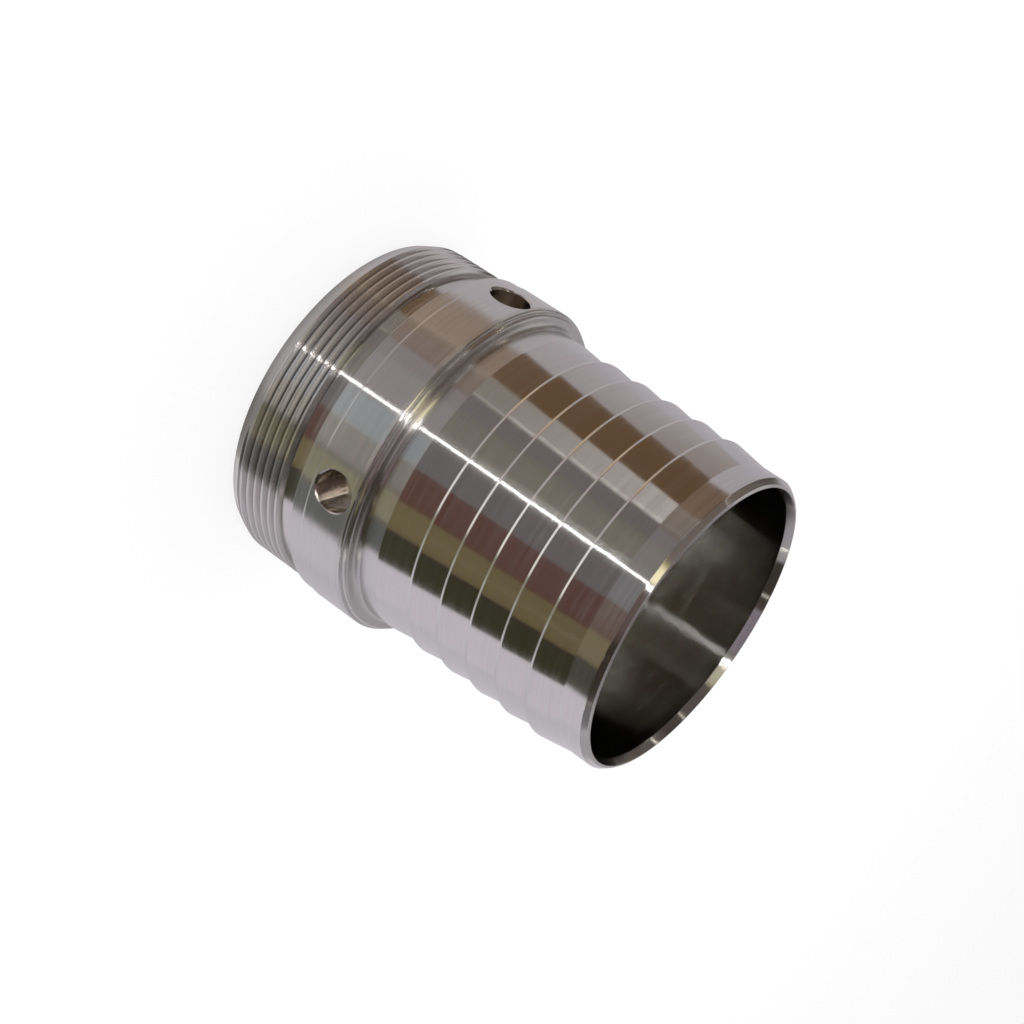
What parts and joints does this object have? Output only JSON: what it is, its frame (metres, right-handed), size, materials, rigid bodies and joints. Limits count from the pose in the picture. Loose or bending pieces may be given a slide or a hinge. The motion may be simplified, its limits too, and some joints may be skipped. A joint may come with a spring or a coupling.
{
  "type": "hose tail",
  "caption": "Turned stainless steel hose tail with a parallel pipe thread, a relief groove, a drilled collar and a barbed tube end, bored straight through.",
  "frame": {"origin": "centre of the thread end face, which the part stands on", "axes": "+Z along the bore from the thread end to the mouth of the hose end; +X and +Y each through one of the four spanner holes"},
  "size_m": [0.0902, 0.0902, 0.1083],
  "materials": {
    "turned_steel": "fine turned, bright"
  },
  "bodies": {
    "root": {"hose_tail": "turned_steel"}
  },
  "joints": []
}
